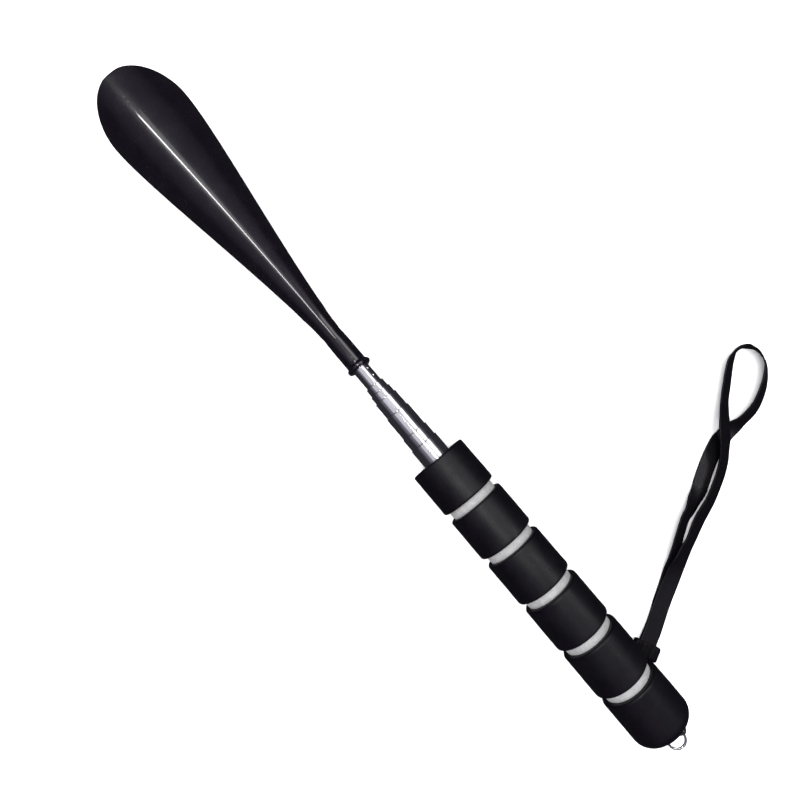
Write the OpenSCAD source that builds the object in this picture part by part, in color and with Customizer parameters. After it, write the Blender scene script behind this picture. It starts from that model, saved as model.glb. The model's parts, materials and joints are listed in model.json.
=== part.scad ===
// Telescopic shoehorn, closed and lying on a flat surface with the back of its blade up.
// +X runs along the shaft towards the butt of the grip, +Y towards the side where the
// wrist strap lies, +Z up. The origin is on the surface, below the middle of the length.

/* [Blade] */
// Length of the curved blade, from its tip to the start of the round neck
blade_len = 186; // [170:1:200]
// Half of the blade's greatest width
blade_half = 23.6; // [20:0.1:26]
// Length of the rounded tip
tip_len = 26; // [22:1:34]
// How square the rounded tip is: 2 is an ellipse
tip_power = 2.2; // [2:0.1:2.6]
// Wall thickness of the blade
blade_t = 1.6; // [1.2:0.1:2.4]
// Half of the angle that the blade's arc spans where it is widest
blade_arc = 53; // [45:1:60]
// How far the back of the blade drops from the neck to the tip
blade_drop = 7.4; // [5:0.1:7.4]

/* [Neck] */
// Diameter of the round neck that holds the shaft
neck_d = 10; // [9.6:0.1:11]
// Diameter of the flange at the end of the neck
flange_d = 12.3; // [11.5:0.1:14]
// Length of the round neck
neck_len = 13.7; // [12:0.1:16]
// How deep the shaft goes into the neck
socket_depth = 22; // [18:1:26]

/* [Shaft] */
// Outer diameters of the telescopic tubes, from the blade's tube to the grip's tube
tube_d = [8, 9.4, 10.5, 11.5, 12.4, 13.2, 14];
// Wall of the sliding tubes and of the tube in the grip
tube_wall = 0.2; // [0.15:0.01:0.22]
// Wall of the tube that carries the blade
tip_tube_wall = 0.4; // [0.3:0.05:0.6]
// Length of tube that stands out of the grip
tube_show = 9.5; // [8:0.5:12]
// Step between the mouths of neighbouring tubes when the shaft is pushed fully home
home_step = 4; // [3:0.5:6]
// How far each sliding tube is drawn out of its home place, from the blade's tube up
drawn_out = [0, 0, 0, 4.4, 8, 2.4];
// Length of bare shaft between the flange and the first mouth
bare_len = 10; // [8:0.5:14]
// Length of each friction sleeve
sleeve_len = 11; // [8:1:14]
// Radial gap of every sliding fit
slide_gap = 0.05; // [0.03:0.01:0.08]

/* [Grip] */
// Length of the foam grip
grip_len = 150; // [140:1:160]
// Diameter of the foam grip
grip_d = 28; // [26:0.5:32]
// Length of the foam segment nearest the blade
first_foam_len = 22; // [18:1:26]
// Distance from one spacer ring to the next
ring_pitch = 25; // [22:0.5:25.5]
// Thickness of each pale spacer ring
ring_w = 4; // [3:0.5:6]
// Diameter of the spacer rings
ring_d = 23.5; // [22:0.5:27]
// Edge rounding of the foam segments
foam_round = 1; // [0.6:0.1:2]
// Edge rounding at the butt
butt_round = 5; // [3:0.5:6]

/* [Butt] */
// Diameter of the wire of the hanging loop
wire_d = 1.1; // [0.9:0.1:1.4]
// Width of the hanging loop, between the centres of its two legs
loop_w = 7.7; // [7:0.1:8.5]
// How far the hanging loop stands out of the grip
loop_out = 11; // [9:0.5:13]

/* [Strap] */
// Width of the wrist ribbon
ribbon_w = 7.5; // [6:0.5:7.5]
// Thickness of the wrist ribbon
ribbon_t = 0.8; // [0.6:0.1:0.8]
// Diameter of the thin cord that ties the strap to the hanging loop
cord_d = 1; // [0.8:0.1:1.2]

/* [Hidden] */
sections = len(tube_d) - 1;
$fn = 64;

// Places along X. The blade's tip and the hanging loop's end are equally far from the origin.
axis_z = grip_d / 2;
front_len = tube_show + home_step * (sections - 1) + total(drawn_out) + bare_len;
tip_reach = front_len + neck_len + blade_len;
grip_x = (tip_reach - grip_len - loop_out) / 2;
butt_x = grip_x + grip_len;
flange_x = grip_x - front_len;
neck_x = flange_x - neck_len;
tip_x = neck_x - blade_len;

// Shaft
lip_len = 1.2;
bead_r = 0.3;
bead_proud = 0.12;
collar_len = 1;
sleeve_play = 0.5;
stop_gap = 0.3;
stop_in = 62.8;
stop_x = grip_x + stop_in;
stop_len = 6;
vent_d = 3;
butt_cap = 2;
tube_end_x = butt_x - butt_cap;
pip_r = 0.8;
pip_proud = 0.25;
pip_angle = 45;
pip_places = [2.3, 6.3];
pin_r = 0.8;
pin_in = 6;
flange_w = 2.6;
socket_floor = 2;

// Blade: length of the two handles of its side curve, and the number of stations and facets
curve_wide = 30;
curve_neck = 35;
neck_in = 0.3;
blunt_angle = 2;
tip_stations = 10;
side_stations = 18;
arc_steps = 16;

// Grip and butt
foam_count = 6;
bore_r = tube_d[sections] / 2;
boss_r = 4.2;
boss_in = 1.2;
plug_len = 12;
leg_depth = 8;

// Wrist strap, on the surface. Its crimp lies beside the butt, half below the grip.
crimp_pos = [173.7, 15.6];
crimp_turn = 115.5;
crimp_size = [7, 12, 3];
crimp_lift = 0.1;
// Middle line of the ribbon: x, y, z and the roll about its length in degrees
ribbon_route = [
    [172.5, 17.5, 0.9, 0], [169.5, 24, 0.8, 0], [167, 29, 0.6, 0], [162.5, 36.5, 0.6, 0],
    [157.5, 45, 0.8, -5], [155, 48.5, 1.3, -10], [152, 52.5, 2.2, -25], [149, 56.5, 2.7, -35],
    [146.5, 60, 2.9, -40], [141.5, 68.5, 2.9, -40], [140, 73, 2.7, -35], [138, 78, 1.9, -20],
    [136.5, 83, 0.9, -5], [134, 87.5, 0.6, 0], [129.5, 96, 0.6, 0], [126, 104.5, 0.6, 0],
    [125.5, 108.5, 0.6, 0], [125, 112, 0.9, -5], [125, 115.5, 2.1, -25], [125, 119, 2.9, -40],
    [124, 128, 3, -40], [119.5, 137.5, 3.2, -45], [113.5, 144.5, 3.5, -55], [109, 146.5, 3.7, -60],
    [105, 146.5, 3.9, -70], [102, 145, 4, -85], [100, 143.5, 4, -95], [99, 140, 3.9, -110],
    [100, 136.5, 3.6, -125], [102, 133, 3.2, -135], [108.5, 125, 2.9, -140], [112, 120.5, 3.2, -140],
    [115.5, 116, 4.6, -145], [118.5, 112, 6.4, -150], [121.5, 108.5, 7.4, -150], [125, 106, 6.9, -150],
    [129, 103, 5.4, -145], [132.5, 100, 4.1, -145], [135.5, 96.5, 3.1, -145], [138, 92.5, 2.8, -145],
    [142.5, 83.5, 2.6, -145], [146, 73.5, 2.4, -150], [150, 64.5, 2.8, -145], [151.5, 59.5, 3.5, -150],
    [153.5, 54.5, 3.7, -155], [155.5, 50, 2.8, -170], [158, 45.5, 2.1, -175], [162.5, 36.5, 1.7, -180],
    [167, 28.5, 1.7, -180], [169.5, 24, 1.8, -180], [172.5, 17.5, 2.1, -180]
];
// Middle line of the thin cord, out of the crimp, round one leg of the loop and back
cord_route = [
    [175.9, 14.5, 1.5], [177.6, 11.6, 1.2], [182, 10.5, 0.7], [188, 10.6, 0.7],
    [194, 10.8, 0.7], [198.4, 10.6, 0.9], [201.2, 9.4, 2.6], [202.4, 7.8, 6],
    [202.6, 6.6, 10], [202.6, 5.6, 13.6], [202.4, 4.2, 15.5], [202, 2.6, 15],
    [201.8, 2.1, 13.6], [201.6, 3, 12.3], [201.2, 4.6, 11.6], [200.6, 6.2, 9.2],
    [199.8, 7.6, 5.6], [198.6, 8.6, 2.4], [195.4, 9.1, 0.8], [190, 8.9, 0.7],
    [184, 8.5, 0.7], [178.4, 8.5, 0.7], [175.2, 9.8, 1.1], [173.3, 13.3, 1.5]
];

function total(list, n = 0) = n < len(list) ? list[n] + total(list, n + 1) : 0;
function tail(list, first) = [for (i = [first:1:len(list) - 1]) list[i]];
function cubic(a, b, c, d, t) =
    a * pow(1 - t, 3) + 3 * b * t * pow(1 - t, 2) + 3 * c * t * t * (1 - t) + d * pow(t, 3);
function unit(v) = v / norm(v);

// Shaft functions. Tube k runs from its mouth, nearest the blade, to its inner end.
function tube_r(k) = tube_d[k - 1] / 2;
function wall(k) = k == 1 ? tip_tube_wall : tube_wall;
function mouth_x(k) = k == 1
    ? flange_x - socket_depth
    : grip_x - tube_show - home_step * (sections + 1 - k) - total(tail(drawn_out, k - 1));
function end_x(k) = k > sections
    ? tube_end_x
    : stop_x - stop_gap - total(tail(drawn_out, k - 1));
function room(k) = tube_r(k + 1) - tube_wall - tube_r(k);
function sleeve_out_r(k) = tube_r(k) + room(k) - slide_gap;
function sleeve_in_r(k) = k == 1 ? tube_r(k) + slide_gap : tube_r(k);
function sleeve_x(k) = end_x(k) - collar_len - sleeve_play - sleeve_len;

// Blade functions. A station is [distance from the tip, half width].
function tip_station(a) = [
    tip_len * (1 - pow(cos(a), 2 / tip_power)),
    blade_half * pow(sin(a), 2 / tip_power)
];
function side_station(t) = [
    cubic(tip_len, tip_len + curve_wide, blade_len - curve_neck, blade_len, t),
    cubic(blade_half, blade_half, neck_d / 2 - neck_in, neck_d / 2 - neck_in, t)
];
stations = concat(
    [for (i = [0:tip_stations]) tip_station(max(blunt_angle, 90 * i / tip_stations))],
    [for (i = [1:side_stations]) side_station(i / side_stations)],
    [[blade_len + neck_len / 2, neck_d / 2 - neck_in]]
);
function toward_tip(x) = min(1, max(0, 1 - x / blade_len));
function full_half(s) = s[0] < tip_len ? blade_half : s[1];
function arc_half_angle(x) =
    90 - (90 - blade_arc) * sin(90 * min(1, max(0, (blade_len - x) / (blade_len - tip_len))));
function arc_radius(s) = full_half(s) / sin(arc_half_angle(s[0]));
function back_z(x) =
    axis_z + neck_d / 2 - neck_in - blade_drop * pow(toward_tip(x), 1.5);
function station_ring(s) =
    let (r = arc_radius(s), half_angle = asin(min(1, s[1] / r)), top = back_z(s[0]))
    [
        for (side = [0, 1], i = [0:arc_steps])
            let (
                step = side == 0 ? i : arc_steps - i,
                a = half_angle * (2 * step / arc_steps - 1),
                q = r - side * blade_t
            )
            [tip_x + s[0], q * sin(a), top - r + q * cos(a)]
    ];

// Sweeping a ring of points along a route, as one closed polyhedron
function smooth(p, i, t) =
    let (
        a = p[max(i - 1, 0)],
        b = p[i],
        c = p[i + 1],
        d = p[min(i + 2, len(p) - 1)]
    )
    0.5 * (2 * b + (c - a) * t + (2 * a - 5 * b + 4 * c - d) * t * t
        + (3 * b - a - 3 * c + d) * pow(t, 3));
function halved(p) = concat(
    [for (i = [0:len(p) - 2], t = [0, 0.5]) smooth(p, i, t)],
    [p[len(p) - 1]]
);
function place(p) = [p[0], p[1], p[2]];
function heading(p, i) = unit(place(p[min(i + 1, len(p) - 1)]) - place(p[max(i - 1, 0)]));
function roll(p) = len(p) > 3 ? p[3] : 0;
function across(p, i) =
    let (
        way = heading(p, i),
        level = unit([way[1], -way[0], 0]),
        rise = cross(level, way),
        a = roll(p[i])
    )
    [level * cos(a) + rise * sin(a), rise * cos(a) - level * sin(a)];
function route_ring(p, i, w, t, sides) =
    let (axes = across(p, i))
    [
        for (n = [0:sides - 1])
            let (a = 360 * (n + 0.5) / sides)
            place(p[i]) + axes[0] * w / 2 * cos(a) / cos(180 / sides)
                + axes[1] * t / 2 * sin(a) / cos(180 / sides)
    ];

function split(quads) = [for (q = quads, n = [1, 2]) [q[0], q[n], q[n + 1]]];

module skin(rings) {
    count = len(rings);
    size = len(rings[0]);
    last = (count - 1) * size;
    points = [for (r = rings) for (p = r) p];
    walls = [
        for (i = [0:count - 2], j = [0:size - 1])
            let (a = i * size + j, b = i * size + (j + 1) % size)
            [b, b + size, a + size, a]
    ];
    // Each end is closed by a strip between the two halves of its ring
    caps = [
        for (j = [0:size / 2 - 2], end = [0, 1])
            let (near = [j, j + 1, size - 2 - j, size - 1 - j])
            end == 1 ? near + last * [1, 1, 1, 1] : [for (n = [3:-1:0]) near[n]]
    ];
    polyhedron(points, split(concat(walls, caps)), convexity = 8);
}

// Stands a turned shape on the shaft's axis, with its own Z along +X
module on_axis(x) {
    translate([x, 0, axis_z])
        rotate([0, 90, 0])
            children();
}

module pipe(length, r_out, r_in) {
    difference() {
        cylinder(h = length, r = r_out);
        translate([0, 0, -1])
            cylinder(h = length + 2, r = r_in);
    }
}

// Turned foam shape with its outer edges rounded by front and back
module turned_foam(length, r_out, r_in, front, back) {
    rotate_extrude()
        difference() {
            union() {
                translate([0, front])
                    square([r_out, length - front - back]);
                square([r_out - front, length]);
                square([r_out - back, length]);
                intersection() {
                    translate([r_out - front, front])
                        circle(r = front);
                    square([r_out, front]);
                }
                intersection() {
                    translate([r_out - back, length - back])
                        circle(r = back);
                    translate([0, length - back])
                        square([r_out, back]);
                }
            }
            translate([-1, -1])
                square([r_in + 1, length + 2]);
        }
}

module neck_shape() {
    barrel_len = socket_depth + socket_floor;
    round_r = flange_w / 2;
    on_axis(flange_x - barrel_len)
        cylinder(h = barrel_len, r = neck_d / 2);
    translate([flange_x - barrel_len, 0, axis_z])
        sphere(r = neck_d / 2);
    on_axis(flange_x - flange_w)
        rotate_extrude() {
            square([flange_d / 2 - round_r, flange_w]);
            translate([flange_d / 2 - round_r, round_r])
                circle(r = round_r);
        }
}

module cross_pin() {
    translate([flange_x - pin_in, 0, axis_z - neck_d / 2])
        cylinder(h = neck_d, r = pin_r, $fn = 32);
}

module blade() {
    color("#17171a")
        difference() {
            union() {
                skin([for (s = stations) station_ring(s)]);
                neck_shape();
            }
            on_axis(flange_x - socket_depth)
                cylinder(h = socket_depth + 5, r = tube_r(1));
            cross_pin();
        }
}

module blade_pin() {
    color("#3a3a3e")
        cross_pin();
}

module pips() {
    for (d = pip_places)
        translate([flange_x + d, 0, axis_z])
            rotate([-pip_angle, 0, 0])
                translate([0, 0, tube_r(1) + pip_proud - pip_r])
                    sphere(r = pip_r, $fn = 32);
}

// Two raised collars near the tube's inner end hold its friction sleeve in place
module sleeve_collars(k) {
    collar_r = tube_r(k) + 0.6 * (room(k) - slide_gap);
    for (x = [sleeve_x(k) - sleeve_play - collar_len, end_x(k) - collar_len])
        on_axis(x)
            pipe(collar_len, collar_r, tube_r(k) - wall(k) / 2);
}

// The mouth is rolled in to guide the next tube and has a small bead outside
module mouth(k) {
    guide_r = tube_r(k - 1) + slide_gap;
    on_axis(mouth_x(k))
        rotate_extrude()
            difference() {
                union() {
                    translate([0, bead_r])
                        square([tube_r(k), lip_len - bead_r]);
                    translate([tube_r(k) + bead_proud - bead_r, bead_r])
                        circle(r = bead_r, $fn = 24);
                    square([tube_r(k) + bead_proud - bead_r, bead_r]);
                }
                translate([-1, -1])
                    square([guide_r + 1, lip_len + 2]);
            }
}

module tube(k) {
    start = k == 1 ? 0 : bead_r;
    color("#c9cbd0")
        difference() {
            union() {
                on_axis(mouth_x(k) + start)
                    pipe(end_x(k) - mouth_x(k) - start, tube_r(k), tube_r(k) - wall(k));
                if (k > 1)
                    mouth(k);
                if (k <= sections)
                    sleeve_collars(k);
                if (k == 1)
                    pips();
            }
            if (k == 1) {
                cross_pin();
                on_axis(mouth_x(k) - 1)
                    cylinder(h = end_x(k) - mouth_x(k) + 2, r = tube_r(k) - wall(k));
            }
        }
}

// A slit sleeve of spring bronze that rubs in the next tube and holds the shaft where it is set
module slide_sleeve(k) {
    slit_w = 0.8;
    on_axis(sleeve_x(k))
        color("#b08a4a")
            difference() {
                pipe(sleeve_len, sleeve_out_r(k), sleeve_in_r(k));
                translate([0, -slit_w / 2, -1])
                    cube([sleeve_out_r(k) + 1, slit_w, sleeve_len + 2]);
            }
}

// The plug inside the grip's tube that the sliding tubes stop against
module stop_plug() {
    color("#26262a")
        on_axis(stop_x)
            pipe(stop_len, bore_r - tube_wall, vent_d / 2);
}

function foam_start(k) = k == 1 ? 0 : first_foam_len + ring_w + ring_pitch * (k - 2);
function foam_end(k) = k == foam_count ? grip_len : first_foam_len + ring_pitch * (k - 1);

module foam_segment(k) {
    color("#1b1b1e")
        on_axis(grip_x + foam_start(k))
            turned_foam(foam_end(k) - foam_start(k), grip_d / 2, bore_r,
                foam_round, k == foam_count ? butt_round : foam_round);
}

module spacer_ring(k) {
    color("#bdbdbf")
        on_axis(grip_x + foam_end(k))
            pipe(ring_w, ring_d / 2, bore_r);
}

module loop_wire() {
    arc_x = butt_x + loop_out - wire_d / 2 - loop_w / 2;
    leg_x = butt_x - leg_depth;
    for (side = [-1, 1])
        on_axis(leg_x)
            translate([0, side * loop_w / 2, 0])
                cylinder(h = arc_x - leg_x, r = wire_d / 2, $fn = 24);
    translate([arc_x, 0, axis_z])
        rotate([0, 0, -90])
            rotate_extrude(angle = 180)
                translate([loop_w / 2, 0])
                    circle(r = wire_d / 2, $fn = 24);
}

module end_plug() {
    color("#121214")
        difference() {
            union() {
                on_axis(tube_end_x - plug_len)
                    cylinder(h = plug_len, r = bore_r - tube_wall);
                on_axis(tube_end_x)
                    cylinder(h = butt_x - tube_end_x, r = bore_r);
                translate([butt_x - boss_in, 0, axis_z])
                    sphere(r = boss_r);
            }
            loop_wire();
        }
}

module hanging_loop() {
    color("#d4d6da")
        loop_wire();
}

module lanyard_cord() {
    route = halved(cord_route);
    color("#161618")
        skin([for (i = [0:len(route) - 1]) route_ring(route, i, cord_d, cord_d, 8)]);
}

module lanyard_crimp() {
    edge = 1;
    color("#101012")
        translate([crimp_pos[0], crimp_pos[1], crimp_lift])
            rotate([0, 0, crimp_turn])
                intersection() {
                    translate([-crimp_size[0] / 2, -crimp_size[1] / 2, 0])
                        cube(crimp_size);
                    rotate([0, 90, 0])
                        linear_extrude(height = crimp_size[0], center = true)
                            translate([-crimp_size[2] + edge, 0])
                                rounded_slab(crimp_size[2] - edge, crimp_size[1], edge);
                }
}

// Flat outline with two rounded corners, for the crimp's cross-section
module rounded_slab(depth, width, edge) {
    translate([0, -width / 2])
        square([depth, width]);
    translate([-edge, edge - width / 2])
        square([edge, width - 2 * edge]);
    for (side = [-1, 1])
        translate([0, side * (width / 2 - edge)])
            circle(r = edge, $fn = 32);
}

module lanyard_ribbon() {
    color("#18181b")
        skin([
            for (i = [0:len(ribbon_route) - 1])
                route_ring(ribbon_route, i, ribbon_w, ribbon_t, 8)
        ]);
}

blade();
blade_pin();
for (k = [1:sections + 1])
    tube(k);
for (k = [1:sections])
    slide_sleeve(k);
stop_plug();
for (k = [1:foam_count])
    foam_segment(k);
for (k = [1:foam_count - 1])
    spacer_ring(k);
end_plug();
hanging_loop();
lanyard_cord();
lanyard_crimp();
lanyard_ribbon();
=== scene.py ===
import json
import math

import bmesh
import bpy
import numpy as np
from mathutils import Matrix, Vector, noise


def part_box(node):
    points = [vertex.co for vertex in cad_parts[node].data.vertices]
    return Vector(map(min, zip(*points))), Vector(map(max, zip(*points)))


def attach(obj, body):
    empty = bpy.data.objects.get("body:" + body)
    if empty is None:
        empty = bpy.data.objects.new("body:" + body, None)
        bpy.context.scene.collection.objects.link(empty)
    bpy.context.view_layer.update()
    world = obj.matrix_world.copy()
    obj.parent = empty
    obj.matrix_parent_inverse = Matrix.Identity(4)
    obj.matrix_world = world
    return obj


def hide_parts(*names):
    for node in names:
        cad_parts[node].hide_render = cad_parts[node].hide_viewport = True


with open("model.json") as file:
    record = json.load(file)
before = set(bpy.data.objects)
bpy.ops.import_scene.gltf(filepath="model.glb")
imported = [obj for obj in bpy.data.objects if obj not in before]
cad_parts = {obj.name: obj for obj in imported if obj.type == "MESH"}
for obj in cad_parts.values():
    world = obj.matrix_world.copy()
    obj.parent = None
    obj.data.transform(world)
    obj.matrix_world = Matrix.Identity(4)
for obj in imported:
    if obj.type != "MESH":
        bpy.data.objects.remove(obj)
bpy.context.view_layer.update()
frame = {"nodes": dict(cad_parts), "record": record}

# Telescopic shoehorn. Lengths below are in millimetres in the part's own frame: +X runs
# along the shaft to the butt of the grip, +Y to the side where the strap lies, +Z up.
MM = 0.001


def low(node):
    return Vector(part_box(node)[0]) / MM


def high(node):
    return Vector(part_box(node)[1]) / MM


# ---------------------------------------------------------------- camera

CAMERA_PLACE = (40.7, 0.0, 269.3)
CAMERA_TURN = (4.98, 2.95, 49.68)
CAMERA_LENS, SENSOR_WIDTH, NEAREST_SEEN = 25.06, 36, 10


def add_camera():
    data = bpy.data.cameras.new("camera")
    data.sensor_width = SENSOR_WIDTH
    data.lens = CAMERA_LENS
    data.clip_start = NEAREST_SEEN * MM
    camera = bpy.data.objects.new("camera", data)
    camera.location = Vector(CAMERA_PLACE) * MM
    camera.rotation_euler = [math.radians(a) for a in CAMERA_TURN]
    bpy.context.scene.collection.objects.link(camera)
    bpy.context.scene.camera = camera


# ---------------------------------------------------------------- node materials

# Most of a noise texture's values lie between these two
NOISE_LOW, NOISE_HIGH = 0.3, 0.7


def new_material(name, color, roughness, metallic=0.0, **sockets):
    """A material whose shader's own sockets hold these values, and its node tree."""
    material = bpy.data.materials.new(name)
    material.use_nodes = True
    shader = material.node_tree.nodes["Principled BSDF"]
    shader.inputs["Base Color"].default_value = (*color, 1)
    shader.inputs["Roughness"].default_value = roughness
    shader.inputs["Metallic"].default_value = metallic
    for socket, value in sockets.items():
        shader.inputs[socket.replace("_", " ")].default_value = value
    return material, material.node_tree, shader


def coordinates(tree, kind="Object", stretch=(1, 1, 1)):
    """Texture coordinates in metres, stretched along each axis."""
    source = tree.nodes.new("ShaderNodeTexCoord")
    mapping = tree.nodes.new("ShaderNodeMapping")
    mapping.inputs["Scale"].default_value = stretch
    tree.links.new(source.outputs[kind], mapping.inputs["Vector"])
    return mapping.outputs["Vector"]


def noise_value(tree, vector, scale, detail=3, roughness=0.5):
    node = tree.nodes.new("ShaderNodeTexNoise")
    node.inputs["Scale"].default_value = scale
    node.inputs["Detail"].default_value = detail
    node.inputs["Roughness"].default_value = roughness
    tree.links.new(vector, node.inputs["Vector"])
    return node.outputs["Fac"]


def wave_value(tree, vector, scale, direction="X"):
    node = tree.nodes.new("ShaderNodeTexWave")
    node.bands_direction = direction
    node.inputs["Scale"].default_value = scale
    tree.links.new(vector, node.inputs["Vector"])
    return node.outputs["Fac"]


def cell_value(tree, vector, scale):
    node = tree.nodes.new("ShaderNodeTexVoronoi")
    node.inputs["Scale"].default_value = scale
    tree.links.new(vector, node.inputs["Vector"])
    return node.outputs["Distance"]


def combined(tree, operation, a, b):
    node = tree.nodes.new("ShaderNodeMath")
    node.operation = operation
    for socket, value in zip(node.inputs, (a, b)):
        if isinstance(value, (int, float)):
            socket.default_value = value
        else:
            tree.links.new(value, socket)
    return node.outputs[0]


def weighted(tree, a, a_share, b, b_share):
    """The sum of two values, each times its share."""
    return combined(
        tree, "ADD", combined(tree, "MULTIPLY", a, a_share), combined(tree, "MULTIPLY", b, b_share))


def remapped(tree, value, start, end, new_start, new_end):
    node = tree.nodes.new("ShaderNodeMapRange")
    names = ("From Min", "From Max", "To Min", "To Max")
    for name, number in zip(names, (start, end, new_start, new_end)):
        node.inputs[name].default_value = number
    tree.links.new(value, node.inputs["Value"])
    return node.outputs["Result"]


def roughened(tree, shader, value, least, most):
    """Drives the roughness from least to most over the usual span of a noise value."""
    roughness = remapped(tree, value, NOISE_LOW, NOISE_HIGH, least, most)
    tree.links.new(roughness, shader.inputs["Roughness"])


def colored(tree, shader, value, dark, light, start=NOISE_LOW, end=NOISE_HIGH):
    """Drives the base colour from dark to light as value goes from start to end."""
    ramp = tree.nodes.new("ShaderNodeValToRGB")
    for element, place, color in zip(ramp.color_ramp.elements, (start, end), (dark, light)):
        element.position = place
        element.color = (*color, 1)
    tree.links.new(value, ramp.inputs["Fac"])
    tree.links.new(ramp.outputs["Color"], shader.inputs["Base Color"])


def bumped(tree, shader, height, depth_mm, strength=1.0):
    """Adds a bump, on top of any that the shader has, whose full height is depth_mm."""
    node = tree.nodes.new("ShaderNodeBump")
    node.inputs["Distance"].default_value = depth_mm * MM
    node.inputs["Strength"].default_value = strength
    tree.links.new(height, node.inputs["Height"])
    if shader.inputs["Normal"].links:
        tree.links.new(shader.inputs["Normal"].links[0].from_socket, node.inputs["Normal"])
    tree.links.new(node.outputs["Normal"], shader.inputs["Normal"])


def blade_plastic():
    """Black moulded plastic, glossy, with faint smears and hairline scratches along its length."""
    material, tree, shader = new_material(
        "blade_plastic", (0.002, 0.002, 0.0025), 0.24, Specular_IOR_Level=0.35,
        Coat_Weight=1.0, Coat_Roughness=0.045)
    smears = noise_value(tree, coordinates(tree), 90, 4, 0.6)
    scratches = noise_value(tree, coordinates(tree, stretch=(0.04, 1, 1)), 2500, 2)
    roughened(tree, shader, weighted(tree, smears, 0.8, scratches, 0.2), 0.2, 0.3)
    colored(tree, shader, smears, (0.0012, 0.0009, 0.0019), (0.0022, 0.0017, 0.0032))
    bumped(tree, shader, noise_value(tree, coordinates(tree), 260, 2), 0.004)
    bumped(tree, shader, scratches, 0.0012)
    return material


def polished_steel():
    """Drawn and polished stainless steel, with fine lines along the tube and dull finger marks."""
    material, tree, shader = new_material("polished_steel", (0.66, 0.66, 0.68), 0.12, 1.0)
    lines = noise_value(tree, coordinates(tree, stretch=(0.03, 1, 1)), 5200, 3)
    marks = noise_value(tree, coordinates(tree), 210, 4, 0.65)
    marked_lines = weighted(tree, marks, 0.6, lines, 0.4)
    roughened(tree, shader, marked_lines, 0.07, 0.2)
    colored(tree, shader, marked_lines, (0.60, 0.60, 0.62), (0.74, 0.74, 0.76))
    bumped(tree, shader, lines, 0.002)
    return material


def loop_wire():
    """Bright steel wire with faint drawing marks."""
    material, tree, shader = new_material("loop_wire", (0.7, 0.7, 0.71), 0.14, 1.0)
    marks = noise_value(tree, coordinates(tree), 900, 3)
    roughened(tree, shader, marks, 0.1, 0.26)
    colored(tree, shader, marks, (0.60, 0.60, 0.61), (0.78, 0.78, 0.79))
    bumped(tree, shader, marks, 0.004)
    return material


def sleeve_bronze():
    """Bare spring bronze with rubbed lines along the way it slides."""
    material, tree, shader = new_material("sleeve_bronze", (0.62, 0.42, 0.2), 0.3, 1.0)
    rubs = noise_value(tree, coordinates(tree, stretch=(0.05, 1, 1)), 3000, 3)
    roughened(tree, shader, rubs, 0.2, 0.42)
    colored(tree, shader, rubs, (0.46, 0.29, 0.13), (0.68, 0.47, 0.24))
    bumped(tree, shader, rubs, 0.003)
    return material


def pin_steel():
    """Blackened steel with a ground end."""
    material, tree, shader = new_material("pin_steel", (0.04, 0.04, 0.042), 0.32, 0.9)
    grain = noise_value(tree, coordinates(tree), 2600, 3)
    roughened(tree, shader, grain, 0.24, 0.42)
    colored(tree, shader, grain, (0.03, 0.03, 0.032), (0.075, 0.075, 0.078))
    bumped(tree, shader, grain, 0.004)
    return material


def grip_foam():
    """Black closed-cell foam: matt, with fine open cells at its skin and slight rubbed patches."""
    material, tree, shader = new_material(
        "grip_foam", (0.002, 0.002, 0.0024), 0.45, Specular_IOR_Level=0.27)
    place = coordinates(tree)
    cells = cell_value(tree, place, 2600)
    patches = noise_value(tree, place, 120, 4, 0.6)
    grain = noise_value(tree, place, 3400, 3)
    roughened(tree, shader, patches, 0.38, 0.5)
    colored(tree, shader, combined(tree, "MULTIPLY", grain, patches),
            (0.0009, 0.0007, 0.0014), (0.0019, 0.0015, 0.0027), 0.1, 0.4)
    bumped(tree, shader, cells, 0.05, 0.6)
    bumped(tree, shader, grain, 0.02, 0.6)
    return material


def ring_foam():
    """Pale grey foam, matt and mottled, a little darker in its cells. Its colour is set well below
    the foam's real pale grey, as painted shade that offsets the strong sun.
    """
    material, tree, shader = new_material("ring_foam", (0.5, 0.5, 0.51), 0.85)
    place = coordinates(tree)
    mottle = noise_value(tree, place, 420, 5, 0.65)
    cells = cell_value(tree, place, 1900)
    # Painted shade: these greys are darker than the real ring's, to make up for the strong sun
    colored(tree, shader, weighted(tree, mottle, 0.75, cells, 0.35),
            (0.138, 0.138, 0.141), (0.25, 0.25, 0.25), 0.25, 0.75)
    bumped(tree, shader, cells, 0.06, 0.7)
    bumped(tree, shader, mottle, 0.08, 0.6)
    return material


def satin_plastic(name, color, roughness):
    """Moulded plastic with a fine spark-eroded grain."""
    material, tree, shader = new_material(name, color, roughness, Specular_IOR_Level=0.1)
    grain = noise_value(tree, coordinates(tree), 2400, 4)
    wear = noise_value(tree, coordinates(tree), 220, 3)
    roughened(tree, shader, wear, roughness - 0.07, roughness + 0.07)
    colored(tree, shader, wear, [0.75 * c for c in color], [1.3 * c for c in color])
    bumped(tree, shader, grain, 0.012, 0.7)
    return material


RIB_WIDTH, THREAD_WIDTH = 0.42, 0.25


def band_scale(width):
    """The scale at which the wave texture's bands are this many millimetres wide."""
    return 1 / (20 * width * MM) * 3.14


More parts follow.
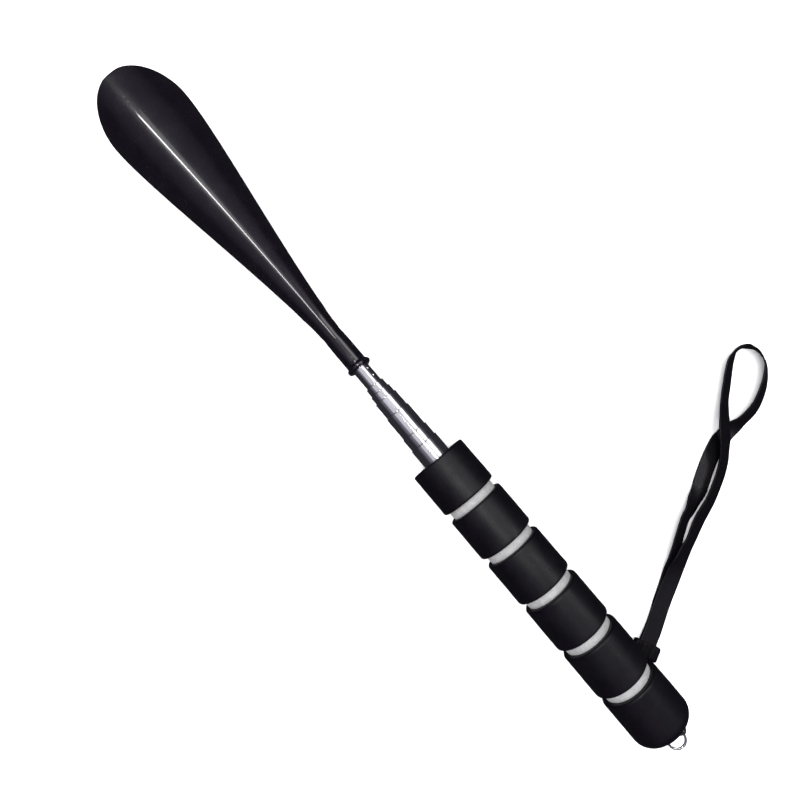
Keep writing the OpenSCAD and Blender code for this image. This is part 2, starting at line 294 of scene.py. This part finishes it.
def strap_ribbon():
    """Black woven nylon: fine ribs across the ribbon, warp threads along it and a satin sheen."""
    material, tree, shader = new_material(
        "strap_ribbon", (0.002, 0.002, 0.0025), 0.42, Specular_IOR_Level=0.22)
    along = coordinates(tree, "UV")
    ribs = wave_value(tree, along, band_scale(RIB_WIDTH), "X")
    warp = wave_value(tree, along, band_scale(THREAD_WIDTH), "Y")
    shallow_warp = combined(tree, "ADD", combined(tree, "MULTIPLY", warp, 0.5), 0.5)
    weave = combined(tree, "MULTIPLY", ribs, shallow_warp)
    fuzz = noise_value(tree, coordinates(tree), 1500, 3)
    colored(tree, shader, combined(tree, "MULTIPLY", weave, fuzz),
            (0.0008, 0.0006, 0.0011), (0.0021, 0.0017, 0.0029), 0.05, 0.45)
    roughened(tree, shader, fuzz, 0.34, 0.5)
    bumped(tree, shader, weave, 0.05, 0.6)
    return material


def strap_cord():
    """Thin black braided cord: two sets of strands that cross on the slant."""
    material, tree, shader = new_material(
        "strap_cord", (0.006, 0.006, 0.0065), 0.6, Sheen_Weight=0.05)
    strand_scale = 400
    one_way = wave_value(tree, coordinates(tree, "UV"), strand_scale, "DIAGONAL")
    other_way = wave_value(tree, coordinates(tree, "UV", (1, -1, 1)), strand_scale, "DIAGONAL")
    braid = combined(tree, "MAXIMUM", one_way, other_way)
    fuzz = noise_value(tree, coordinates(tree), 3000, 2)
    colored(tree, shader, combined(tree, "MULTIPLY", braid, fuzz),
            (0.002, 0.002, 0.0024), (0.009, 0.009, 0.0096), 0.15, 0.55)
    bumped(tree, shader, braid, 0.08, 0.8)
    return material


def floor_paint():
    """Pale matt surface."""
    material, tree, shader = new_material("floor", (0.86, 0.86, 0.86), 0.75)
    shade = noise_value(tree, coordinates(tree), 3, 2)
    colored(tree, shader, shade, (0.85, 0.85, 0.85), (0.88, 0.88, 0.88))
    bumped(tree, shader, noise_value(tree, coordinates(tree), 900, 3), 0.01, 0.3)
    return material


MATERIALS = {
    "blade_plastic": blade_plastic(),
    "pin_steel": pin_steel(),
    "polished_steel": polished_steel(),
    "sleeve_bronze": sleeve_bronze(),
    "plug_plastic": satin_plastic("plug_plastic", (0.0014, 0.0012, 0.0019), 0.45),
    "grip_foam": grip_foam(),
    "ring_foam": ring_foam(),
    "loop_wire": loop_wire(),
    "strap_cord": strap_cord(),
    "crimp_plastic": satin_plastic("crimp_plastic", (0.0014, 0.0012, 0.0019), 0.5),
    "strap_ribbon": strap_ribbon(),
}

# ---------------------------------------------------------------- mesh tools

AXIS_Z = (low("tube_7").z + high("tube_7").z) / 2
# Points closer together than this are one point
WELD = 0.004


def add_piece(name, points, faces, slot, body, replaced, sharp_angle=40, uvs=None):
    """A mesh piece from points in millimetres, which rides on body and stands for a CAD node."""
    mesh = bpy.data.meshes.new(name)
    mesh.from_pydata([tuple(c * MM for c in p) for p in points], [], faces)
    if uvs is not None:
        layer = mesh.uv_layers.new(name="UVMap")
        for loop in mesh.loops:
            layer.data[loop.index].uv = uvs[loop.vertex_index]
    work = bmesh.new()
    work.from_mesh(mesh)
    bmesh.ops.remove_doubles(work, verts=work.verts, dist=WELD * MM)
    bmesh.ops.recalc_face_normals(work, faces=work.faces)
    work.to_mesh(mesh)
    work.free()
    mesh.shade_smooth()
    mesh.set_sharp_from_angle(angle=math.radians(sharp_angle))
    mesh.materials.append(MATERIALS[slot])
    piece = bpy.data.objects.new(name, mesh)
    bpy.context.scene.collection.objects.link(piece)
    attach(piece, body)
    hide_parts(replaced)
    return piece


def lofted(rings, capped=True):
    """Points and faces of closed rings joined one to the next, with a fan at each end if capped."""
    size = len(rings[0])
    points = [tuple(p) for ring in rings for p in ring]
    faces = []
    for i in range(len(rings) - 1):
        for j in range(size):
            a, b = i * size + j, i * size + (j + 1) % size
            faces.append((a, b, b + size, a + size))
    for start in (0, (len(rings) - 1) * size) if capped else ():
        points.append(tuple(np.array(points[start:start + size]).mean(0)))
        middle = len(points) - 1
        faces += [(start + (j + 1) % size, start + j, middle) for j in range(size)]
    return points, faces


def turned_rings(profile, sides, wobble=None):
    """Rings round the shaft's axis from a profile of (x, radius) pairs."""
    rings = []
    for x, radius in profile:
        ring = []
        for k in range(sides):
            a = 2 * math.pi * k / sides
            r = radius + (wobble(x, a, radius) if wobble else 0)
            ring.append((x, r * math.sin(a), AXIS_Z + r * math.cos(a)))
        rings.append(ring)
    return rings


def turned(name, profile, slot, replaced, sides, wobble=None, sharp_angle=40, closed=False):
    """A turned piece of the grip. A closed profile runs round the outside and back in the bore."""
    rings = turned_rings(profile, sides, wobble)
    if closed:
        rings.append(rings[0])
    points, faces = lofted(rings, not closed)
    add_piece(name, points, faces, slot, "grip", replaced, sharp_angle)


def corner(x, radius, size, start, steps):
    """A quarter-round of a profile about (x, radius), from start degrees, where 0 is along +X."""
    return [
        (x + size * math.cos(math.radians(start - 90 * i / steps)),
         radius + size * math.sin(math.radians(start - 90 * i / steps)))
        for i in range(steps + 1)
    ]


def spread(start, end, step):
    """Even places from start to end, about a step apart."""
    count = max(1, round(abs(end - start) / step))
    return [start + (end - start) * i / count for i in range(count + 1)]


def eased(t):
    """t held between 0 and 1, with a soft start and a soft end."""
    t = min(1, max(0, t))
    return t * t * (3 - 2 * t)


def mixed(a, b, t):
    """a where t is 0, b where t is 1, and in proportion between."""
    return a + (b - a) * t


# ---------------------------------------------------------------- wrist strap

RIBBON_WIDTH, RIBBON_THICK, CORD_WIDTH = 7.5, 0.8, 1.0
ROUTE_STEPS = 6
# Middle line of the ribbon: x, y, z and the roll about its length in degrees
RIBBON_ROUTE = [
    (172.5, 17.5, 0.9, 0), (169.5, 24, 0.8, 0), (167, 29, 0.6, 0), (162.5, 36.5, 0.6, 0),
    (157.5, 45, 0.8, -5), (155, 48.5, 1.3, -10), (152, 52.5, 2.2, -25),
    (149, 56.5, 2.7, -35), (146.5, 60, 2.9, -40), (141.5, 68.5, 2.9, -40),
    (140, 73, 2.7, -35), (138, 78, 1.9, -20), (136.5, 83, 0.9, -5), (134, 87.5, 0.6, 0),
    (129.5, 96, 0.6, 0), (126, 104.5, 0.6, 0), (125.5, 108.5, 0.6, 0), (125, 112, 0.9, -5),
    (125, 115.5, 2.1, -25), (125, 119, 2.9, -40), (124, 128, 3, -40),
    (119.5, 137.5, 3.2, -45), (113.5, 144.5, 3.5, -55), (109, 146.5, 3.7, -60),
    (105, 146.5, 3.9, -70), (102, 145, 4, -85), (100, 143.5, 4, -95), (99, 140, 3.9, -110),
    (100, 136.5, 3.6, -125), (102, 133, 3.2, -135), (108.5, 125, 2.9, -140),
    (112, 120.5, 3.2, -140), (115.5, 116, 4.6, -145), (118.5, 112, 6.4, -150),
    (121.5, 108.5, 7.4, -150), (125, 106, 6.9, -150), (129, 103, 5.4, -145),
    (132.5, 100, 4.1, -145), (135.5, 96.5, 3.1, -145), (138, 92.5, 2.8, -145),
    (142.5, 83.5, 2.6, -145), (146, 73.5, 2.4, -150), (150, 64.5, 2.8, -145),
    (151.5, 59.5, 3.5, -150), (153.5, 54.5, 3.7, -155), (155.5, 50, 2.8, -170),
    (158, 45.5, 2.1, -175), (162.5, 36.5, 1.7, -180), (167, 28.5, 1.7, -180),
    (169.5, 24, 1.8, -180), (172.5, 17.5, 2.1, -180),
]
# Middle line of the thin cord, out of the crimp, round one leg of the loop and back
CORD_ROUTE = [
    (175.9, 14.5, 1.5), (177.6, 11.6, 1.2), (182, 10.5, 0.7), (188, 10.6, 0.7),
    (194, 10.8, 0.7), (198.4, 10.6, 0.9), (201.2, 9.4, 2.6), (202.4, 7.8, 6),
    (202.6, 6.6, 10), (202.6, 5.6, 13.6), (202.4, 4.2, 15.5), (202, 2.6, 15),
    (201.8, 2.1, 13.6), (201.6, 3, 12.3), (201.2, 4.6, 11.6), (200.6, 6.2, 9.2),
    (199.8, 7.6, 5.6), (198.6, 8.6, 2.4), (195.4, 9.1, 0.8), (190, 8.9, 0.7),
    (184, 8.5, 0.7), (178.4, 8.5, 0.7), (175.2, 9.8, 1.1), (173.3, 13.3, 1.5),
]


def smoothed(route, steps):
    """The route's points with a smooth curve of steps pieces between each two."""
    p = np.array(route, float)
    last = len(p) - 1
    found = []
    for i in range(last):
        a, b, c, d = p[max(i - 1, 0)], p[i], p[i + 1], p[min(i + 2, last)]
        for t in np.arange(steps) / steps:
            found.append(0.5 * (2 * b + (c - a) * t + (2 * a - 5 * b + 4 * c - d) * t * t
                                + (3 * b - a - 3 * c + d) * t ** 3))
    return np.array(found + [p[last]])


def headings(path):
    way = np.gradient(path[:, :3], axis=0)
    return way / np.linalg.norm(way, axis=1)[:, None]


def rolled_axes(path):
    """Across and up directions that stay level, turned by the path's own roll."""
    pairs = []
    for way, roll in zip(headings(path), np.radians(path[:, 3])):
        level = np.array([way[1], -way[0], 0])
        level /= np.linalg.norm(level)
        rise = np.cross(level, way)
        pairs.append((level * math.cos(roll) + rise * math.sin(roll),
                      rise * math.cos(roll) - level * math.sin(roll)))
    return pairs


def carried_axes(path):
    """Across and up directions carried along the path without twisting."""
    pairs = []
    across = np.array([0.0, 0.0, 1.0])
    for way in headings(path):
        across = across - way * np.dot(across, way)
        across /= np.linalg.norm(across)
        pairs.append((across, np.cross(way, across)))
    return pairs


def running_length(points):
    """The distance along the points from the first one to each."""
    return np.concatenate([[0], np.cumsum(np.linalg.norm(np.diff(points, axis=0), axis=1))])


def swept(name, path, axes, section, slot, node):
    """A section of (across, up) points swept along the path. Its UVs are metres along and round."""
    run = running_length(path[:, :3])
    round_run = running_length(section)
    rings, uvs = [], []
    for place, (across, up), along in zip(path, axes, run):
        rings.append([place[:3] + across * a + up * b for a, b in section])
        uvs += [(along * MM, r * MM) for r in round_run]
    points, faces = lofted(rings)
    uvs += [(0, 0), (run[-1] * MM, 0)]
    return add_piece(name, points, faces, slot, "grip", node, 60, uvs)


EDGE_WIDTH, MIDDLE_THIN = 0.7, 0.16


def ribbon_section():
    """A flat band with rounded edges and a slightly thicker selvedge along each."""
    half_w, half_t = RIBBON_WIDTH / 2, RIBBON_THICK / 2
    flat_w = half_w - EDGE_WIDTH
    edge = [(half_w - half_t + half_t * math.cos(a), half_t * math.sin(a))
            for a in np.radians([-75, -45, -15, 15, 45, 75])]
    top = [(w, half_t * (1 - MIDDLE_THIN + MIDDLE_THIN * (abs(w) / half_w) ** 6))
           for w in np.linspace(flat_w, -flat_w, 17)]
    half = edge + top
    return np.array(half + [(-a, -b) for a, b in half])


def round_section(radius, sides):
    angles = 2 * np.pi * np.arange(sides) / sides
    return np.stack([radius * np.cos(angles), radius * np.sin(angles)], 1)


CRIMP_PLACE, CRIMP_TURN, CRIMP_SIZE = (173.7, 15.6), 115.5, (7.0, 12.0, 3.0)
CRIMP_ROUND, ROUND_FROM = 0.9, 0.86
GROOVE_DEEP, GROOVE_PLACES, GROOVE_WIDE = 0.35, (-0.35, 0.35), 0.05


def crimp_piece():
    """The moulded block that clamps the strap: rounded all round, with two pressed grooves."""
    lift, turn, sides = low("lanyard_crimp").z, math.radians(CRIMP_TURN), 48
    near_end = np.array([0.9, 0.95, 0.98, 0.995, 1])
    rings = []
    for v in np.concatenate([-near_end[::-1], np.linspace(-0.82, 0.82, 41), near_end]):
        past = max(0, abs(v) - ROUND_FROM) / (1 - ROUND_FROM)
        end_in = 1 - math.sqrt(max(0, 1 - past ** 2))
        groove = sum(GROOVE_DEEP * math.exp(-((v - u) / GROOVE_WIDE) ** 2) for u in GROOVE_PLACES)
        half_x = CRIMP_SIZE[0] / 2 - CRIMP_ROUND * end_in
        half_z = CRIMP_SIZE[2] / 2 - CRIMP_ROUND * end_in - groove
        ring = []
        for k in range(sides):
            a = 2 * math.pi * (k + 0.5) / sides
            c, s = math.cos(a), math.sin(a)
            x = math.copysign(abs(c) ** 0.35, c) * half_x
            z = math.copysign(abs(s) ** 0.45, s) * half_z
            y = v * CRIMP_SIZE[1] / 2
            ring.append((CRIMP_PLACE[0] + x * math.cos(turn) - y * math.sin(turn),
                         CRIMP_PLACE[1] + x * math.sin(turn) + y * math.cos(turn),
                         lift + CRIMP_SIZE[2] / 2 + z))
        rings.append(ring)
    points, faces = lofted(rings)
    return add_piece("crimp_block", points, faces, "crimp_plastic", "grip", "lanyard_crimp", 50)


def add_strap():
    crimp = crimp_piece()
    ribbon_path = smoothed(RIBBON_ROUTE, ROUTE_STEPS)
    ribbon = swept("wrist_ribbon", ribbon_path, rolled_axes(ribbon_path), ribbon_section(),
                   "strap_ribbon", "lanyard_ribbon")
    cord_path = smoothed(CORD_ROUTE, ROUTE_STEPS)
    cord = swept("thin_cord", cord_path, carried_axes(cord_path), round_section(CORD_WIDTH / 2, 16),
                 "strap_cord", "lanyard_cord")


# ---------------------------------------------------------------- blade

BLADE_LEN, BLADE_HALF, BLADE_T = 186.0, 23.6, 1.6
TIP_LEN, TIP_POWER = 26.0, 2.2
BLADE_ARC, BLADE_DROP = 53.0, 7.4
CURVE_WIDE, CURVE_NECK = 30.0, 35.0
NECK_R, NECK_IN = 5.0, 0.3
NECK_BLEND, CLOSE_OVER, FILL_FROM, FILL_OVER = 26.0, 7.0, 22.0, 15.0
FLANGE_R, FLANGE_W, SOCKET_DEEP = 6.15, 2.6, 16.0
TIP_X = low("blade").x
FLANGE_X = high("blade").x
TUBE_R = 4.0


def side_curve():
    """The blade's half width behind the rounded tip, as a table of one cubic curve."""
    t = np.linspace(0, 1, 400)
    xs = (TIP_LEN, TIP_LEN + CURVE_WIDE, BLADE_LEN - CURVE_NECK, BLADE_LEN)
    ys = (BLADE_HALF, BLADE_HALF, NECK_R - NECK_IN, NECK_R - NECK_IN)
    weights = ((1 - t) ** 3, 3 * t * (1 - t) ** 2, 3 * t * t * (1 - t), t ** 3)
    return sum(w * x for w, x in zip(weights, xs)), sum(w * y for w, y in zip(weights, ys))


SIDE_X, SIDE_Y = side_curve()


def half_width(x):
    if x < TIP_LEN:
        return BLADE_HALF * max(0, 1 - (1 - x / TIP_LEN) ** TIP_POWER) ** (1 / TIP_POWER)
    return float(np.interp(x, SIDE_X, SIDE_Y))


ARC_STEPS, RIM_STEPS = 48, 8


def blade_ring(x):
    """One section of the blade: over the back, round one rim, under the hollow, round the other."""
    full = half_width(max(x, TIP_LEN))
    from_neck = min(1, max(0, (BLADE_LEN - x) / (BLADE_LEN - TIP_LEN)))
    bend = math.radians(90 - (90 - BLADE_ARC) * math.sin(math.pi / 2 * from_neck))
    to_neck = eased((x - BLADE_LEN + NECK_BLEND) / NECK_BLEND)
    radius = mixed(full / math.sin(bend), NECK_R, to_neck)
    top = AXIS_Z + NECK_R - NECK_IN - BLADE_DROP * max(0, 1 - x / BLADE_LEN) ** 1.5
    middle_z = mixed(top - full / math.sin(bend), AXIS_Z, to_neck)
    nose = math.sqrt(1 - max(0, 1 - x / (BLADE_T / 2)) ** 2)
    thick = max(0.02, min(BLADE_T * nose, 1.8 * half_width(x)))
    mid_r = radius - BLADE_T / 2
    out_r, in_r = mid_r + thick / 2, mid_r - thick / 2
    reach = math.asin(min(1, half_width(x) / out_r)) - thick / 2 / mid_r
    closing = eased((x - BLADE_LEN + CLOSE_OVER) / CLOSE_OVER)
    reach = mixed(max(reach, 0.0005), math.pi, closing)
    angles = np.linspace(-reach, reach, ARC_STEPS + 1)
    outer = [(out_r * math.sin(a), out_r * math.cos(a)) for a in angles]
    center = (mid_r * math.sin(reach), mid_r * math.cos(reach))
    rim = []
    for turn in np.linspace(0, math.pi, RIM_STEPS + 1)[1:-1]:
        out, side = thick / 2 * math.cos(turn), thick / 2 * math.sin(turn)
        rim.append((center[0] + out * math.sin(reach) + side * math.cos(reach),
                    center[1] + out * math.cos(reach) - side * math.sin(reach)))
    inner = [(in_r * math.sin(a), in_r * math.cos(a)) for a in reversed(angles)]
    under = rim + inner + [(-y, z) for y, z in reversed(rim)]
    filling = eased((x - BLADE_LEN + FILL_FROM) / FILL_OVER)
    chord = np.linspace(outer[-1], outer[0], len(under) + 2)[1:-1]
    under = [(mixed(y, c[0], filling), mixed(z, c[1], filling)) for (y, z), c in zip(under, chord)]
    return [(TIP_X + x, y, middle_z + z) for y, z in outer + under]


def neck_ring(x, radius, size):
    """A round section with as many points as a blade section; those of the hollow meet below."""
    angles = [*np.linspace(-math.pi, math.pi, ARC_STEPS + 1)] + [math.pi] * (size - ARC_STEPS - 1)
    return [(x, radius * math.sin(a), AXIS_Z + radius * math.cos(a)) for a in angles]


def add_blade():
    tip = [TIP_LEN * (1 - math.cos(a)) for a in np.radians(np.linspace(0.5, 90, 60))]
    rings = [blade_ring(x) for x in tip + spread(TIP_LEN, BLADE_LEN, 1.5)[1:]]
    size = len(rings[0])
    bead = FLANGE_W / 2
    bead_x = FLANGE_X - bead
    profile = [(x, NECK_R) for x in spread(TIP_X + BLADE_LEN + 1, FLANGE_X - FLANGE_W - 0.7, 1.5)]
    profile += [(FLANGE_X - FLANGE_W - 0.3, NECK_R + 0.08),
                (FLANGE_X - FLANGE_W - 0.05, NECK_R + 0.3)]
    profile += [(bead_x - bead * math.cos(a), FLANGE_R - bead + bead * math.sin(a))
                for a in np.radians(np.linspace(5, 175, 18))]
    socket_r = TUBE_R + 0.03
    profile += [(FLANGE_X, 4.6), (FLANGE_X - 0.1, 4.3), (FLANGE_X - 0.4, socket_r),
                (FLANGE_X - 3, socket_r), (FLANGE_X - SOCKET_DEEP, socket_r)]
    rings += [neck_ring(x, r, size) for x, r in profile]
    points, faces = lofted(rings)
    add_piece("shoehorn_blade", points, faces, "blade_plastic", "blade_arm", "blade", 50)


def add_blade_pin():
    """The cross pin, with low domed ends that show at the top and bottom of the neck."""
    middle = (low("blade_pin") + high("blade_pin")) / 2
    radius, half = 0.8, NECK_R + 0.12
    sides, rings = 32, []
    for z, r in [(-half, 0.3), (-half + 0.04, 0.55), (-half + 0.14, 0.74), (-half + 0.3, radius),
                 (half - 0.3, radius), (half - 0.14, 0.74), (half - 0.04, 0.55), (half, 0.3)]:
        rings.append([(middle.x + r * math.cos(a), r * math.sin(a), AXIS_Z + z)
                      for a in 2 * math.pi * np.arange(sides) / sides])
    points, faces = lofted(rings)
    add_piece("neck_cross_pin", points, faces, "pin_steel", "blade_arm", "blade_pin")


# ---------------------------------------------------------------- grip

GRIP_R, BORE_R, RING_R = 14.0, 7.0, 11.75
FOAM_ROUND, BUTT_ROUND = 1.0, 5.0
FOAM_SEGMENTS, GRIP_SIDES = 6, 160
# How far the foam's skin and ends lie inside its CAD solid
SKIN_IN = 0.05


def foam_wobble(seed):
    """Small hollows and swellings of soft foam, a few hundredths of a millimetre deep."""
    def wobble(x, angle, radius):
        if radius < BORE_R + 1:
            return 0
        place = Vector((x * 0.12 + seed * 7, math.sin(angle) * 1.4, math.cos(angle) * 1.4))
        return 0.07 * noise.noise(place) + 0.02 * noise.noise(place * 5)
    return wobble


def add_foam(k):
    """One foam segment: rounded edges, ends a little hollow, skin not quite true."""
    node = f"foam_segment_{k}"
    start, end = low(node).x, high(node).x
    back, back_steps = (BUTT_ROUND, 14) if k == FOAM_SEGMENTS else (FOAM_ROUND, 6)
    profile = [(start + SKIN_IN, r) for r in spread(BORE_R, GRIP_R - FOAM_ROUND - 0.8, 0.8)]
    profile += corner(start + FOAM_ROUND, GRIP_R - FOAM_ROUND - SKIN_IN, FOAM_ROUND, 180, 6)
    profile += [(x, GRIP_R - SKIN_IN) for x in spread(start + FOAM_ROUND, end - back, 0.7)[1:-1]]
    profile += corner(end - back, GRIP_R - back - SKIN_IN, back, 90, back_steps)
    profile += [(end - SKIN_IN, r) for r in spread(GRIP_R - back - 0.8, BORE_R, 0.8)]
    turned(node + "_skin", profile, "grip_foam", node, GRIP_SIDES, foam_wobble(k), 50, closed=True)


def add_ring(k):
    """One pale ring, its rim slightly crowned between the segments."""
    node = f"spacer_ring_{k}"
    start, end = low(node).x, high(node).x
    middle = (start + end) / 2
    rim = [(x, RING_R - 0.12 * ((x - middle) / (end - middle)) ** 2)
           for x in spread(start, end, 0.4)]
    profile = [(start, BORE_R)] + rim + [(end, BORE_R)]

    def wobble(x, angle, radius):
        if radius < BORE_R + 1:
            return 0
        place = Vector((x * 0.5 + k * 9, 3 * math.sin(angle), 3 * math.cos(angle)))
        return 0.08 * noise.noise(place)
    turned(node + "_band", profile, "ring_foam", node, GRIP_SIDES, wobble, 50, closed=True)


def add_end_plug():
    """The plug in the grip's tube: a flat face with a rounded boss that holds the wire's legs."""
    start, end = low("end_plug").x, high("end_plug").x
    face = max(high("foam_segment_6").x, high("tube_7").x)
    boss_r = 4.2
    dome_x = end - boss_r
    at_face = math.acos((face - dome_x) / boss_r)
    foot_r = boss_r * math.sin(at_face)
    profile = [(start, 0.5), (start, BORE_R - 0.4), (face - 2, BORE_R - 0.2), (face - 0.3, BORE_R),
               (face - 0.08, BORE_R - 0.08), (face, BORE_R - 0.3), (face, foot_r + 0.5),
               (face + 0.15, foot_r + 0.1)]
    profile += [(dome_x + boss_r * math.cos(a), boss_r * math.sin(a))
                for a in np.linspace(at_face * 0.92, 0.02, 14)]
    turned("butt_plug", profile, "plug_plastic", "end_plug", 96)


# ---------------------------------------------------------------- the model

add_camera()
add_strap()
add_blade()
add_blade_pin()
for number in range(1, FOAM_SEGMENTS + 1):
    add_foam(number)
for number in range(1, FOAM_SEGMENTS):
    add_ring(number)
add_end_plug()

for part in frame["record"]["subparts"]:
    carried = frame["nodes"][part["node"]]
    carried.data.materials.clear()
    carried.data.materials.append(MATERIALS[part["material_slot"]])


# ---------------------------------------------------------------- floor and light

def add_floor():
    size, steps = 4000.0, 8
    places = np.linspace(-size / 2, size / 2, steps + 1)
    points = [(x * MM, y * MM, 0) for y in places for x in places]
    row = steps + 1
    starts = [j * row + i for j in range(steps) for i in range(steps)]
    faces = [(a, a + 1, a + row + 1, a + row) for a in starts]
    mesh = bpy.data.meshes.new("floor")
    mesh.from_pydata(points, [], faces)
    mesh.materials.append(floor_paint())
    floor = bpy.data.objects.new("floor", mesh)
    bpy.context.scene.collection.objects.link(floor)
    floor.visible_glossy = False


def place_light(name, data, place, turn, **visible):
    """A light turned by the degrees in turn, which the kinds of ray in visible see or don't."""
    light = bpy.data.objects.new(name, data)
    light.location = Vector(place) * MM
    light.rotation_euler = [math.radians(a) for a in turn]
    for kind, shown in visible.items():
        setattr(light, "visible_" + kind, shown)
    bpy.context.scene.collection.objects.link(light)


def add_reflector(name, place, turn, size, brightness):
    """A soft panel that only shows in glossy surfaces, size (along X, along Y) in millimetres."""
    data = bpy.data.lights.new(name, "AREA")
    data.shape = "RECTANGLE"
    data.size, data.size_y = size[0] * MM, size[1] * MM
    data.energy = brightness * math.pi * data.size * data.size_y
    place_light(name, data, place, turn, diffuse=False)


SKY_TONE, SKY_LOW, SKY_HIGH = (1, 0.94, 1.16), 0.035, 0.26


def add_sky():
    """A studio ceiling: grey with a touch of violet overhead, and nearly black at the sides."""
    world = bpy.data.worlds.new("world")
    bpy.context.scene.world = world
    world.use_nodes = True
    tree = world.node_tree
    source = tree.nodes.new("ShaderNodeTexCoord")
    split = tree.nodes.new("ShaderNodeSeparateXYZ")
    tree.links.new(source.outputs["Generated"], split.inputs["Vector"])
    background = tree.nodes["Background"]
    background.inputs["Color"].default_value = (*SKY_TONE, 1)
    strength = remapped(tree, split.outputs["Z"], 0.35, 0.8, SKY_LOW, SKY_HIGH)
    tree.links.new(strength, background.inputs["Strength"])


def add_lights():
    add_sky()
    sun = bpy.data.lights.new("soft_daylight", "SUN")
    sun.energy = 8.0
    sun.angle = math.radians(90)
    place_light("soft_daylight", sun, (0, 0, 1000), (0, 0, 0), glossy=False)
    add_reflector("shaft_panel", (-60, 260, 420), (-31, 0, 0), (330, 230), 2.2)
    add_reflector("shaft_ceiling", (-20, -70, 480), (8, 0, 0), (210, 460), 0.55)
    add_reflector("blade_strip", (-365, -25, 400), (0, 0, 13), (475, 18), 24)
    add_reflector("blade_glow", (-365, -5, 402), (0, 0, 13), (450, 110), 1.0)
    add_reflector("grip_panel", (85, 12, 400), (0, 0, 0), (125, 50), 23)
    add_reflector("strap_panel", (205, 225, 269), (-15, 15, 0), (100, 100), 8)


bpy.context.scene.view_settings.view_transform = "Standard"
add_floor()
add_lights()
